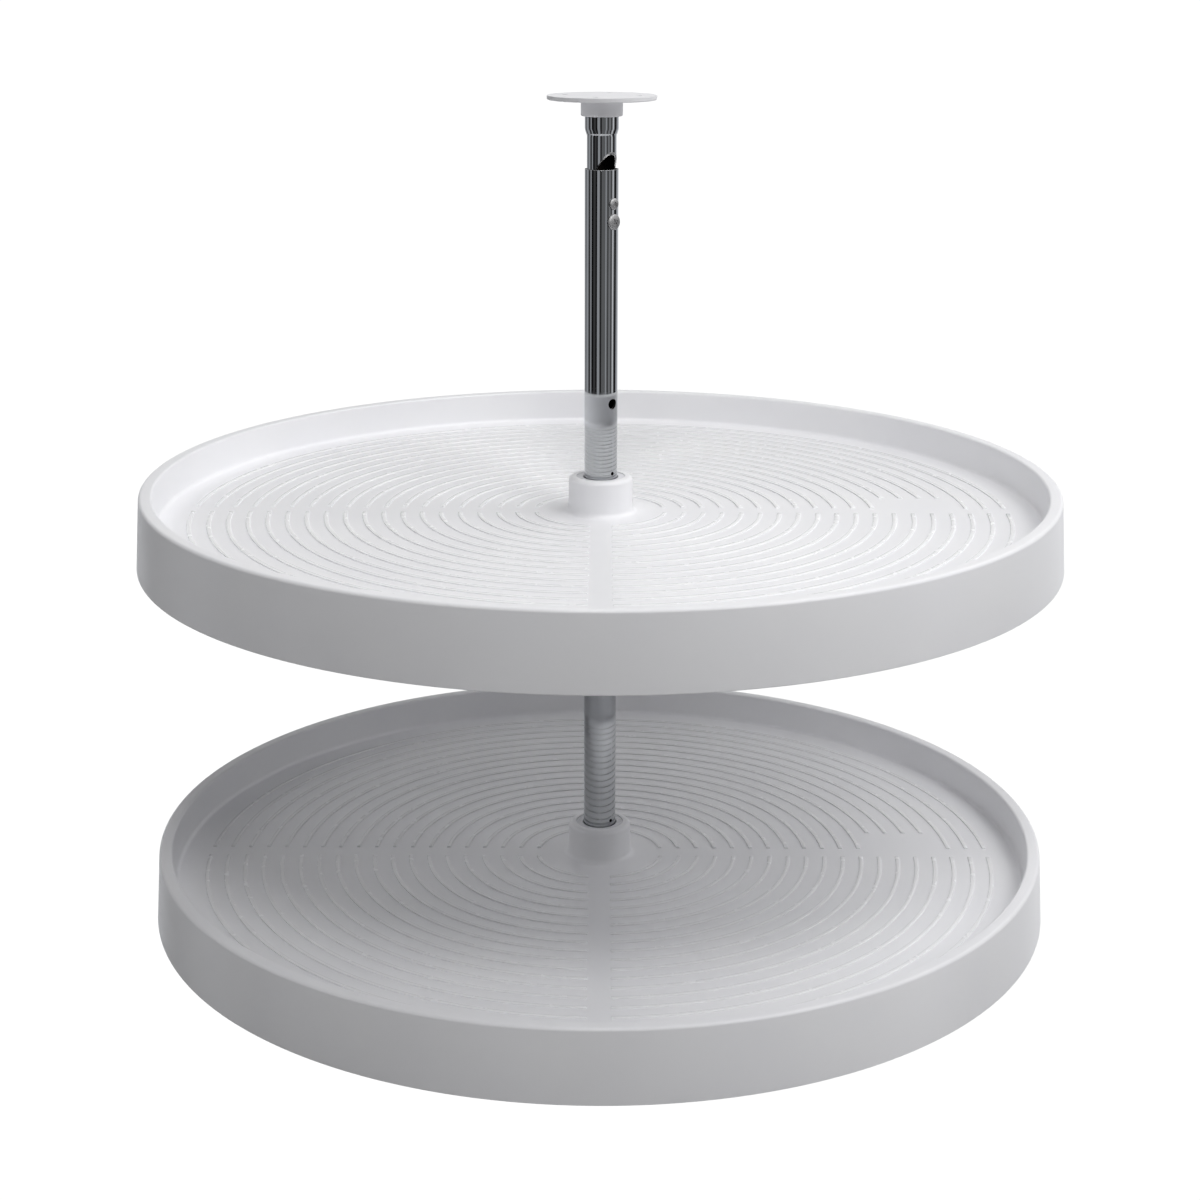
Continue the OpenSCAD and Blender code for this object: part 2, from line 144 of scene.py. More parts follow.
def runNodes(obj, tree, inputs):
    # gives an object a node tree, sets its named inputs and keeps the result as a mesh
    modifier = obj.modifiers.new(tree.name, "NODES")
    modifier.node_group = tree
    for item in tree.interface.items_tree:
        if item.item_type == "SOCKET" and item.in_out == "INPUT" and item.name in inputs:
            modifier[item.identifier] = inputs[item.name]
    bakeModifiers(obj)


def placePiece(obj, body, material, node):
    # clads a finished piece and puts it on its body in place of the frame's node
    obj.data.materials.clear()
    obj.data.materials.append(material)
    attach(obj, body)
    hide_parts(node)


def startMaterial(name):
    # a bare Principled material and the object's own coordinates
    material = bpy.data.materials.new(name)
    material.use_nodes = True
    tree = material.node_tree
    tree.nodes.clear()
    output = addNode(tree, "ShaderNodeOutputMaterial")
    shader = addNode(tree, "ShaderNodeBsdfPrincipled")
    tree.links.new(shader.outputs[0], output.inputs[0])
    place = addNode(tree, "ShaderNodeTexCoord").outputs["Object"]
    return material, tree, shader, place


def mouldedPlastic(name, light, dark, roughness, grainMm, grainDepthMm, ior=1.49):
    # moulded polymer: a faint cloudy tone, an uneven soft gloss and the mould's grain
    cloudMm, glossMm = 60, 9
    shinier, duller = 0.04, 0.05
    material, tree, shader, place = startMaterial(name)
    cloud = addNode(tree, "ShaderNodeTexNoise", {"Vector": place, "Scale": 1 / (cloudMm * mm),
                                                 "Detail": 3.0})
    tone = addNode(tree, "ShaderNodeValToRGB", {"Fac": cloud.outputs["Fac"]})
    for stop, spot, code in zip(tone.color_ramp.elements, patchEdges, (light, dark)):
        stop.position, stop.color = spot, hexToLinear(code)
    tree.links.new(tone.outputs["Color"], shader.inputs["Base Color"])
    gloss = addNode(tree, "ShaderNodeTexNoise", {"Vector": place, "Scale": 1 / (glossMm * mm),
                                                 "Detail": 4.0})
    sheen = addNode(tree, "ShaderNodeMapRange", {
        "Value": gloss.outputs["Fac"], "From Min": patchEdges[0], "From Max": patchEdges[1],
        "To Min": roughness - shinier, "To Max": roughness + duller})
    tree.links.new(sheen.outputs["Result"], shader.inputs["Roughness"])
    grain = addNode(tree, "ShaderNodeTexNoise", {"Vector": place, "Scale": 1 / (grainMm * mm),
                                                 "Detail": 1.0})
    bump = addNode(tree, "ShaderNodeBump", {"Height": grain.outputs["Fac"], "Strength": 0.5,
                                            "Distance": grainDepthMm * mm})
    tree.links.new(bump.outputs["Normal"], shader.inputs["Normal"])
    shader.inputs["IOR"].default_value = ior
    return material


def platedMetal(name, light, dark, roughness, spread, patchMm, waveMm, waveDepthMm,
                bareAndShadeZones=()):
    # plated metal: a mirror or satin coat with faint tone patches and slow waves in the sheen;
    # a zone is (radius within which it lies, in mm, tone, roughness); a near-black zone is painted
    # shade
    material, tree, shader, place = startMaterial(name)
    patch = addNode(tree, "ShaderNodeTexNoise", {"Vector": place, "Scale": 1 / (patchMm * mm),
                                                 "Detail": 3.0})
    tone = addNode(tree, "ShaderNodeValToRGB", {"Fac": patch.outputs["Fac"]})
    for stop, spot, code in zip(tone.color_ramp.elements, patchEdges, (light, dark)):
        stop.position, stop.color = spot, hexToLinear(code)
    sheen = addNode(tree, "ShaderNodeMapRange", {
        "Value": patch.outputs["Fac"], "From Min": patchEdges[0], "From Max": patchEdges[1],
        "To Min": roughness, "To Max": roughness + spread})
    colour, gloss = tone.outputs["Color"], sheen.outputs["Result"]
    if bareAndShadeZones:  # bores and cut walls, told apart by their distance from the shaft's axis
        across = addNode(tree, "ShaderNodeVectorMath", {0: place, 1: (1, 1, 0)},
                         operation="MULTIPLY")
        away = addNode(tree, "ShaderNodeVectorMath", {0: across.outputs[0]},
                       operation="LENGTH").outputs["Value"]
    # each zone swaps in its tone and roughness; the near-black bore tone is painted shade
    for withinMm, bareAndShadeTone, bareRoughness in bareAndShadeZones:
        inside = addNode(tree, "ShaderNodeMath", {0: away, 1: withinMm * mm},
                         operation="LESS_THAN").outputs[0]
        colour = addNode(tree, "ShaderNodeMixRGB", {0: inside, 1: colour,
                                                    2: hexToLinear(bareAndShadeTone)}).outputs[0]
        gloss = addNode(tree, "ShaderNodeMapRange", {"Value": inside, "To Min": gloss,
                                                     "To Max": bareRoughness}).outputs[0]
    tree.links.new(colour, shader.inputs["Base Color"])
    tree.links.new(gloss, shader.inputs["Roughness"])
    wave = addNode(tree, "ShaderNodeTexNoise", {"Vector": place, "Scale": 1 / (waveMm * mm),
                                                "Detail": 1.0})
    bump = addNode(tree, "ShaderNodeBump", {"Height": wave.outputs["Fac"], "Strength": 0.3,
                                            "Distance": waveDepthMm * mm})
    tree.links.new(bump.outputs["Normal"], shader.inputs["Normal"])
    shader.inputs["Metallic"].default_value = 1.0
    return material


# the real grain of a mould is finer than 1 mm and wouldn't show, so it is drawn 3 to 4 mm
# wide, as a faint unevenness in the sheen

# injection-moulded tray plastic: clean white with a soft sheen that keeps its shadows pale
polypropylene = mouldedPlastic("moulded polypropylene", "#FBFBFD", "#F8F8FB",
                               roughness=0.32, grainMm=4.0, grainDepthMm=0.012)
# the rings' crests come off a polished part of the mould and are glossier; their shade-lighter tone
# is a painted highlight
polishedPaintedHighlightPlastic = mouldedPlastic("polished polypropylene", "#FEFEFF", "#FBFBFD",
                                 roughness=0.24, grainMm=4.0, grainDepthMm=0.008)
# moulded bearing housings: the same white, a shade greyer and duller
mouldedNylon = mouldedPlastic("moulded nylon", "#EFEFF1", "#EBEBEE",
                              roughness=0.42, grainMm=3.0, grainDepthMm=0.02, ior=1.53)
# machined running bushes: smooth, slippery-looking, off-white
acetal = mouldedPlastic("acetal", "#E4E4E8", "#DFDFE4",
                        roughness=0.3, grainMm=3.0, grainDepthMm=0.01, ior=1.48)
# undyed hidden fittings: warm ivory with a dull moulded skin
naturalNylon = mouldedPlastic("natural nylon", "#E6E3D8", "#DFDCCF",
                              roughness=0.42, grainMm=3.0, grainDepthMm=0.02, ior=1.53)
# bright chrome over polished tube: a straight mirror that stripes with its surroundings; the
# plating doesn't reach the bore, bare steel; its near-black tone there and on the holes' walls is
# painted shade
chromePlate = platedMetal("chrome plate", "#B9BBBD", "#B5B7B9", roughness=0.02, spread=0.015,
                          patchMm=30, waveMm=8, waveDepthMm=0.0004,
                          bareAndShadeZones=[(12.55, "#2A2724", 0.6)])
# the same chrome on the slotted tube: the slot's milled wall shines softly, the bore is painted
# shade
slottedChrome = platedMetal("chrome plate, slot milled", "#B9BBBD", "#B5B7B9", roughness=0.02,
                            spread=0.015, patchMm=30, waveMm=8, waveDepthMm=0.0004,
                            bareAndShadeZones=[(11.0, "#DEDEDC", 0.32), (9.95, "#2A2724", 0.6)])
# satin nickel on the clamp screws: a soft grey blur in place of a mirror image
nickelPlate = platedMetal("satin nickel plate", "#A9A9A9", "#9C9C9D", roughness=0.5,
                          spread=0.08, patchMm=2, waveMm=0.8, waveDepthMm=0.002)
# zinc on races, balls and pins: bluish grey, faintly cloudy
zincPlate = platedMetal("zinc-plated steel", "#C3C5C8", "#B5B8BE", roughness=0.28,
                        spread=0.1, patchMm=3, waveMm=1.2, waveDepthMm=0.004)
print("finishes ready")


tray = {  # in mm, from the skirt's bottom edge up
    "rimRadius": 351.5, "height": 55.0, "skirtFlare": 4.1, "lipWidth": 10.0, "rimLean": 1.8,
    "wall": 3.0, "floorHeight": 28.6, "floorThickness": 2.8, "lipOuterRound": 2.8,
    "lipInnerRound": 2.0, "floorFillet": 3.0, "hubRadius": 24.6, "hubDraft": 0.6,
    "hubTop": 56.6, "hubEnd": 8.5, "hubBore": 18.75, "hubRound": 3.5, "hubFillet": 4.0,
    "boreTopEdge": 0.3, "boreEndEdge": 0.4, "hubEndEdge": 0.6, "skirtInnerEdge": 0.6,
    "skirtOuterEdge": 0.8, "underFillet": 1.0, "segments": 320,
}
trayHeights = {"lower": 29.5, "upper": 317.5}  # skirt's bottom edge above the cabinet floor

antiSlipRibs = {
    "Rib Count": 19, "First Radius": 50.2 * mm, "Pitch": 14.75 * mm, "Lane Width": 17.0 * mm,
    "Base Width": 5.6 * mm, "Top Width": 2.4 * mm, "Rib Height": 1.0 * mm, "Edge Round": 0.7 * mm,
    "End Round": 0.6 * mm, "Bare Middle": 13.5, "Bare Count": 4, "Bare Width": 41.0 * mm,
}

underRibs = {  # long and short ones by turns, and a ring where the short ones start
    "count": 12, "thickness": 2.2, "hubRadius": 21.7, "hubRise": 2.3, "rimDepth": 9.0,
    "ringRadius": 186.0, "ringSegments": 160, "floorRoot": 0.5, "wallRoot": 1.5,
}


def trayOutline():
    # one closed moulding: hub, floor, leaning inner wall, rolled lip and flared skirt
    t = tray
    innerTop = t["rimRadius"] - t["lipWidth"]
    innerLow = innerTop - t["rimLean"]
    floorUnder = t["floorHeight"] - t["floorThickness"]
    return roundedSection([
        (t["hubBore"], t["hubEnd"], t["boreEndEdge"]),
        (t["hubRadius"], t["hubEnd"], t["hubEndEdge"]),
        (t["hubRadius"] + t["hubDraft"], floorUnder, 0),
        (innerLow + t["wall"], floorUnder, t["underFillet"]),
        (innerTop + t["wall"], t["height"] - t["wall"], 0),
        (t["rimRadius"] - t["wall"], t["height"] - t["wall"], 0),
        (t["rimRadius"] + t["skirtFlare"] - t["wall"], 0, t["skirtInnerEdge"]),
        (t["rimRadius"] + t["skirtFlare"], 0, t["skirtOuterEdge"]),
        (t["rimRadius"], t["height"], t["lipOuterRound"]),
        (innerTop, t["height"], t["lipInnerRound"]),
        (innerLow, t["floorHeight"], t["floorFillet"]),
        (t["hubRadius"] + t["hubDraft"], t["floorHeight"], t["hubFillet"]),
        (t["hubRadius"], t["hubTop"], t["hubRound"]),
        (t["hubBore"], t["hubTop"], t["boreTopEdge"]),
    ], steps=8)


def underRibOutlines():
    # (radius, height) outlines of a long rib, a short rib and the ring's section; the ribs
    # end in the hollow rim, between the inner wall and the skirt
    t, u = tray, underRibs
    innerLow = t["rimRadius"] - t["lipWidth"] - t["rimLean"]
    floorUnder = t["floorHeight"] - t["floorThickness"]
    low, high = floorUnder - u["rimDepth"], floorUnder + u["floorRoot"]
    lip = t["height"] - t["wall"] + u["floorRoot"]
    slope = t["skirtFlare"] / t["height"]
    rimEnd = [(t["rimRadius"] - u["wallRoot"] + slope * (t["height"] - z), z) for z in (low, lip)]
    rimEnd += [(innerLow + t["rimLean"] + u["wallRoot"], lip), (innerLow + u["wallRoot"], high)]
    longRib = [(u["hubRadius"], t["hubEnd"] + u["hubRise"]), *rimEnd, (u["hubRadius"], high)]
    shortRib = [(u["ringRadius"], low), *rimEnd, (u["ringRadius"], high)]
    inside, outside = (u["ringRadius"] + side * u["thickness"] / 2 for side in (-1, 1))
    return longRib, shortRib, [(inside, low), (outside, low), (outside, high), (inside, high)]


def ribTree(material):
    # raised rings on the tray's floor: arcs swept with a rounded section, parted by lanes
    tree = bpy.data.node_groups.new("antiSlipRibs", "GeometryNodeTree")
    for name in ("Floor Height", *antiSlipRibs):
        whole = name in ("Rib Count", "Bare Count")
        tree.interface.new_socket(name, in_out="INPUT",
                                  socket_type="NodeSocketInt" if whole else "NodeSocketFloat")
    tree.interface.new_socket("Geometry", in_out="OUTPUT", socket_type="NodeSocketGeometry")
    points, endSteps, rooted = 44, 3, 0.4 * mm  # along an arc, of them at each end, under the floor
    given = addNode(tree, "NodeGroupInput").outputs
    values = {socket.name: socket for socket in given if socket.name}
    values["index"] = addNode(tree, "GeometryNodeInputIndex").outputs[0]
    position = addNode(tree, "GeometryNodeInputPosition").outputs[0]
    values.update(zip("xyz", addNode(tree, "ShaderNodeSeparateXYZ", {"Vector": position}).outputs))
    for name in ("ownRib", "ownQuarter", "ownStep"):  # stored further down on arcs and points
        values[name] = addNode(tree, "GeometryNodeInputNamedAttribute", {"Name": name},
                               data_type="FLOAT").outputs["Attribute"]
    steps = [  # (result, operation, what goes in)
        ("arcCount", "MULTIPLY", "Rib Count", 4.0),  # each rib has an arc in all four quarters
        ("ribShare", "DIVIDE", "index", 4.0),
        ("ribNumber", "FLOOR", "ribShare"),
        ("quarter", "MODULO", "index", 4.0),
        ("quarterTurn", "MULTIPLY", "quarter", pi / 2),
        ("radius", "MULTIPLY_ADD", "ribNumber", "Pitch", "First Radius"),
        ("along", "MODULO", "index", float(points)),
        ("xSquared", "MULTIPLY", "x", "x"),  # a point's own radius
        ("awaySquared", "MULTIPLY_ADD", "y", "y", "xSquared"),
        ("away", "SQRT", "awaySquared"),
        ("halfLane", "MULTIPLY", "Lane Width", 0.5),  # wider where the patch is bare
        ("inQuarter", "COMPARE", "ownQuarter", 0.0, 0.1),
        ("bareReach", "MULTIPLY", "Bare Count", 0.5),
        ("inPatch", "COMPARE", "ownRib", "Bare Middle", "bareReach"),
        ("isBare", "MULTIPLY", "inQuarter", "inPatch"),
        ("wider", "SUBTRACT", "Bare Width", "halfLane"),
        ("firstHalf", "MULTIPLY_ADD", "isBare", "wider", "halfLane"),
        ("firstSine", "DIVIDE", "firstHalf", "away"),
        ("firstTurn", "ARCSINE", "firstSine"),
        ("lastSine", "DIVIDE", "halfLane", "away"),
        ("lastTurn", "ARCSINE", "lastSine"),
        ("laneTurns", "ADD", "firstTurn", "lastTurn"),
        ("span", "SUBTRACT", pi / 2, "laneTurns"),
        ("endTurn", "DIVIDE", "End Round", "away"),
        ("fromStart", "DIVIDE", "ownStep", float(endSteps)),  # a point's place on its arc
        ("stepsLeft", "SUBTRACT", float(points - 1), "ownStep"),
        ("fromEnd", "DIVIDE", "stepsLeft", float(endSteps)),
        ("pastStart", "SUBTRACT", "ownStep", float(endSteps)),
        ("middle", "DIVIDE", "pastStart", float(points - 1 - 2 * endSteps)),
        ("startEase", "MULTIPLY", "fromStart", "fromStart"),
        ("endEase", "MULTIPLY", "fromEnd", "fromEnd"),
        ("endDone", "SUBTRACT", 1.0, "endEase"),
        ("endsDone", "ADD", "startEase", "endDone"),
        ("bothEnds", "MULTIPLY", "endTurn", 2.0),
        ("straight", "SUBTRACT", "span", "bothEnds"),
        ("endAngle", "MULTIPLY_ADD", "endsDone", "endTurn", "firstTurn"),
        ("laneAngle", "MULTIPLY_ADD", "middle", "straight", "endAngle"),
        ("angle", "MULTIPLY_ADD", "ownQuarter", pi / 2, "laneAngle"),
        ("near", "MINIMUM", "startEase", "endEase"),  # the top rounds down at both ends
        ("far", "SUBTRACT", 1.0, "near"),
        ("farSquared", "MULTIPLY", "far", "far"),
        ("sineSquared", "SUBTRACT", 1.0, "farSquared"),
        ("sine", "SQRT", "sineSquared"),
        ("drop", "SUBTRACT", 1.0, "sine"),
        ("deep", "ADD", "Rib Height", rooted),
        ("rise", "MULTIPLY_ADD", "deep", 0.5, "z"),
        ("share", "DIVIDE", "rise", "deep"),
        ("fallShare", "MULTIPLY", "share", "drop"),
        ("fall", "MULTIPLY", "fallShare", "End Round"),
        ("top", "SUBTRACT", "rise", "fall"),
        ("topAboveRoot", "ADD", "top", "Floor Height"),
        ("height", "SUBTRACT", "topAboveRoot", rooted),
        ("cosine", "COSINE", "angle"),
        ("angleSine", "SINE", "angle"),
        ("newX", "MULTIPLY", "away", "cosine"),
        ("newY", "MULTIPLY", "away", "angleSine"),
    ]
    for result, operation, *sources in steps:
        inputs = {i: values[source] if isinstance(source, str) else source
                  for i, source in enumerate(sources)}
        values[result] = addNode(tree, "ShaderNodeMath", inputs, operation=operation,
                                 use_clamp=result in ("fromStart", "fromEnd", "middle")).outputs[0]
    line = addNode(tree, "GeometryNodeMeshLine", {"Count": values["arcCount"], "Offset": (0, 0, 0)})
    arc = addNode(tree, "GeometryNodeCurveArc", {"Resolution": points, "Radius": 1.0,
                                                 "Sweep Angle": pi / 2})
    turned = addNode(tree, "ShaderNodeCombineXYZ", {"Z": values["quarterTurn"]})
    sized = addNode(tree, "ShaderNodeCombineXYZ", {"X": values["radius"], "Y": values["radius"],
                                                   "Z": 1.0})
    kept = addNode(tree, "GeometryNodeInstanceOnPoints", {
        "Points": line.outputs[0], "Instance": arc.outputs[0], "Rotation": turned.outputs[0],
        "Scale": sized.outputs[0]}).outputs[0]
    for name, value in (("ownRib", "ribNumber"), ("ownQuarter", "quarter")):
        kept = addNode(tree, "GeometryNodeStoreNamedAttribute", {
            "Geometry": kept, "Name": name, "Value": values[value]},
            data_type="FLOAT", domain="INSTANCE").outputs[0]
    kept = addNode(tree, "GeometryNodeRealizeInstances", {"Geometry": kept}).outputs[0]
    kept = addNode(tree, "GeometryNodeStoreNamedAttribute", {
        "Geometry": kept, "Name": "ownStep", "Value": values["along"]},
        data_type="FLOAT", domain="POINT").outputs[0]
    section = addNode(tree, "GeometryNodeCurvePrimitiveQuadrilateral", {
        "Height": values["deep"], "Bottom Width": values["Base Width"],
        "Top Width": values["Top Width"], "Offset": 0.0}, mode="TRAPEZOID")
    softened = addNode(tree, "GeometryNodeFilletCurve", {
        "Curve": section.outputs[0], "Count": 3, "Radius": values["Edge Round"],
        "Limit Radius": True}, mode="POLY")
    swept = addNode(tree, "GeometryNodeCurveToMesh", {
        "Curve": kept, "Profile Curve": softened.outputs[0], "Fill Caps": True})
    spot = addNode(tree, "ShaderNodeCombineXYZ", {"X": values["newX"], "Y": values["newY"],
                                                  "Z": values["height"]})
    moved = addNode(tree, "GeometryNodeSetPosition", {"Geometry": swept.outputs[0],
                                                      "Position": spot.outputs[0]})
    real = addNode(tree, "GeometryNodeRealizeInstances", {"Geometry": moved.outputs[0]})
    clad = addNode(tree, "GeometryNodeSetMaterial", {"Geometry": real.outputs[0],
                                                     "Material": material})
    addNode(tree, "NodeGroupOutput", {"Geometry": clad.outputs[0]})
    return tree


def spokeTree(material):
    # copies of one blade round the shaft's axis
    tree = bpy.data.node_groups.new("blades", "GeometryNodeTree")
    tree.interface.new_socket("Blade", in_out="INPUT", socket_type="NodeSocketObject")
    tree.interface.new_socket("Count", in_out="INPUT", socket_type="NodeSocketInt")
    tree.interface.new_socket("Start Turn", in_out="INPUT", socket_type="NodeSocketFloat")
    tree.interface.new_socket("Geometry", in_out="OUTPUT", socket_type="NodeSocketGeometry")
    given = addNode(tree, "NodeGroupInput").outputs
    line = addNode(tree, "GeometryNodeMeshLine", {"Count": given["Count"], "Offset": (0, 0, 0)})
    blade = addNode(tree, "GeometryNodeObjectInfo", {"Object": given["Blade"]})
    number = addNode(tree, "GeometryNodeInputIndex").outputs[0]
    share = addNode(tree, "ShaderNodeMath", {0: number, 1: given["Count"]},
                    operation="DIVIDE").outputs[0]
    turn = addNode(tree, "ShaderNodeMath", {0: share, 1: 2 * pi, 2: given["Start Turn"]},
                   operation="MULTIPLY_ADD").outputs[0]
    turned = addNode(tree, "ShaderNodeCombineXYZ", {"Z": turn})
    copies = addNode(tree, "GeometryNodeInstanceOnPoints", {
        "Points": line.outputs[0], "Instance": blade.outputs["Geometry"],
        "Rotation": turned.outputs[0]})
    real = addNode(tree, "GeometryNodeRealizeInstances", {"Geometry": copies.outputs[0]})
    clad = addNode(tree, "GeometryNodeSetMaterial", {"Geometry": real.outputs[0],
                                                     "Material": material})
    addNode(tree, "NodeGroupOutput", {"Geometry": clad.outputs[0]})
    return tree


def bladeObject(name, outline, thickness, lift):
    # an upright plate in the XZ plane from an outline of (radius, height)
    bm = bmesh.new()
    sides = []
    for y in (-thickness / 2, thickness / 2):
        sides.append([bm.verts.new((r * mm, y * mm, (z + lift) * mm)) for r, z in outline])
    bm.faces.new(sides[0])
    bm.faces.new(reversed(sides[1]))
    count = len(outline)
    for k in range(count):
        n = (k + 1) % count
        bm.faces.new((sides[0][n], sides[0][k], sides[1][k], sides[1][n]))
    bmesh.ops.recalc_face_normals(bm, faces=bm.faces)
    return meshObject(name, bm)


def joinedMesh(name, parts):
    # one piece from several, which go
    bm = bmesh.new()
    for part in parts:
        bm.from_mesh(part.data)
        bpy.data.objects.remove(part)
    return meshObject(name, bm)


ribNodes = ribTree(polishedPaintedHighlightPlastic)
spokeNodes = spokeTree(polypropylene)

for level, base in trayHeights.items():
    body, node = f"{level}_shelf", f"{level}_tray"
    shell = turnedMesh(f"{level}_tray_shell", trayOutline(), tray["segments"], base)
    placePiece(shell, body, polypropylene, node)

    ribs = meshObject(f"{level}_tray_ribs")
    runNodes(ribs, ribNodes, {**antiSlipRibs, "Floor Height": (tray["floorHeight"] + base) * mm})
    # the rings wear the lighter tone, a painted highlight along them
    placePiece(ribs, body, polishedPaintedHighlightPlastic, node)

    longRib, shortRib, ring = underRibOutlines()
    spacing = 2 * pi / underRibs["count"]
    parts = []
    for outline, startTurn in ((longRib, 0.0), (shortRib, spacing / 2)):
        blade = bladeObject("blade", outline, underRibs["thickness"], base)
        wheel = meshObject("wheel")
        runNodes(wheel, spokeNodes, {"Blade": blade, "Count": underRibs["count"],
                                     "Start Turn": startTurn})
        bpy.data.objects.remove(blade)
        parts.append(wheel)
    parts.append(turnedMesh("ring", ring, underRibs["ringSegments"], base))
    under = joinedMesh(f"{level}_tray_under_ribs", parts)
    placePiece(under, body, polypropylene, node)
    print(level, "tray:", sum(len(p.data.polygons) for p in (shell, ribs, under)), "faces")


outerTube = {  # in mm, heights above the cabinet floor
    "radius": 12.7, "bore": 11.2, "low": 10.6, "high": 608.2, "edge": 0.15, "innerEdge": 0.3,
    "segments": 128,
}
innerTube = {
    "radius": 11.1, "topRadius": 12.7, "wall": 1.2, "low": 395.2, "coneLow": 632.0,
    "crease": ((11.3, 633.1, 1.2), (11.79, 634.2, 2.0)), "coneHigh": 637.3, "high": 658.0,
    "lowRound": 2.0, "highRound": 8.0, "topEdge": 0.3, "segments": 128,
    "lowReach": 0.17, "highReach": 1.05,  # what the cone's end rounds take of the straight tube
}
drilledHoles = [  # (diameter, height, both walls)
    (8.0, 432.1, False),  # the large hole
    (3.0, 89.6, False), (3.0, 377.6, False),  # a small one above each hub
    (5.1, 30.4, True), (5.1, 318.4, True),  # for the support pins
    (4.1, 583.2, False), (5.1, 569.9, False),  # for the clamp screws
]
holeCut = {"reach": 16.0, "segments": 64}
slot = {  # a milled flat in mm from the axis, and the slope of its end ramps in degrees
    "flat": 3.9, "ramp": 29.5, "low": 425.9, "high": 621.2, "cutTo": 14.0, "cutWidth": 30.0,
}
facing = Matrix.Rotation(radians(-45), 4, "Z")  # holes, slot and screws face the front right


def holeCutter(diameter, height, through):
    # a drill across the outer tube, through one wall or both
    bm = bmesh.new()
    reach = holeCut["reach"] * mm
    start = -reach if through else 0.0
    bmesh.ops.create_cone(bm, segments=holeCut["segments"], radius1=diameter / 2 * mm,
                          radius2=diameter / 2 * mm, depth=reach - start, cap_ends=True)
    bm.transform(facing @ Matrix.Translation(((reach + start) / 2, 0, height * mm))
                 @ Matrix.Rotation(pi / 2, 4, "Y"))
    return meshObject("cutter", bm)


def trueNormals(obj, surfaces):
    # after a cut, a wall keeps the exact normals of the turned surface that it belongs to;
    # surfaces are (low, high, radius, 1 outside or -1 inside)
    heightSlack, wallSlack, facingAlike = 1e-6, 2e-5, 0.8
    mesh = obj.data
    normals = [corner.vector.copy() for corner in mesh.corner_normals]
    for face in mesh.polygons:
        for index in face.loop_indices:
            co = mesh.vertices[mesh.loops[index].vertex_index].co
            around = Vector((co.x, co.y, 0)).normalized()
            for low, high, radius, side in surfaces:
                level = low * mm - heightSlack <= co.z <= high * mm + heightSlack
                onWall = abs(co.xy.length - radius * mm) < wallSlack
                if level and onWall and face.normal.dot(around) * side > facingAlike:
                    normals[index] = around * side
                    break
    mesh.normals_split_custom_set(normals)


slack = 0.01  # takes in the points where a wall meets its end round
t = outerTube
tube = turnedMesh("outer_tube_skin", roundedSection([
    (t["bore"], t["low"], 0), (t["radius"], t["low"], t["innerEdge"]),
    (t["radius"], t["high"], t["edge"]), (t["bore"], t["high"], t["innerEdge"])], steps=4),
    t["segments"])
cutAway(tube, [holeCutter(*hole) for hole in drilledHoles])
trueNormals(tube, [
    (t["low"] + t["innerEdge"] - slack, t["high"] - t["edge"] + slack, t["radius"], 1),
    (t["low"], t["high"] - t["innerEdge"] + slack, t["bore"], -1)])
placePiece(tube, "shaft", chromePlate, "outer_tube")
print("outer tube:", len(tube.data.polygons), "faces")

t = innerTube
bore, topBore = t["radius"] - t["wall"], t["topRadius"] - t["wall"]
inner = turnedMesh("inner_tube_skin", roundedSection([
    (bore, t["low"], 0), (t["radius"], t["low"], 0), (t["radius"], t["coneLow"], t["lowRound"]),
    *t["crease"], (t["topRadius"], t["coneHigh"], t["highRound"]),
    (t["topRadius"], t["high"], t["topEdge"]), (topBore, t["high"], 0),
    (topBore, t["coneHigh"], 0), (bore, t["coneLow"], 0)]), t["segments"])
# the slot's side view: a flat bottom that ramps out at both ends
steepness = tan(radians(slot["ramp"]))
rampRise = (slot["cutTo"] - slot["flat"]) / steepness
runOut = (t["radius"] - slot["flat"]) / steepness
flatLow, flatHigh = slot["low"] + runOut, slot["high"] - runOut
slotCutter = bladeObject("cutter", [
    (slot["flat"], flatLow), (slot["cutTo"], flatLow - rampRise),
    (slot["cutTo"], flatHigh + rampRise), (slot["flat"], flatHigh)], slot["cutWidth"], 0.0)
slotCutter.data.transform(facing)
cutAway(inner, [slotCutter])
trueNormals(inner, [
    (t["low"], t["coneLow"] - t["lowReach"], t["radius"], 1),
    (t["low"], t["coneLow"], bore, -1),
    (t["coneHigh"] + t["highReach"], t["high"] - t["topEdge"] + slack, t["topRadius"], 1)])
placePiece(inner, "inner_shaft", slottedChrome, "inner_tube")
print("inner tube:", len(inner.data.polygons), "faces")

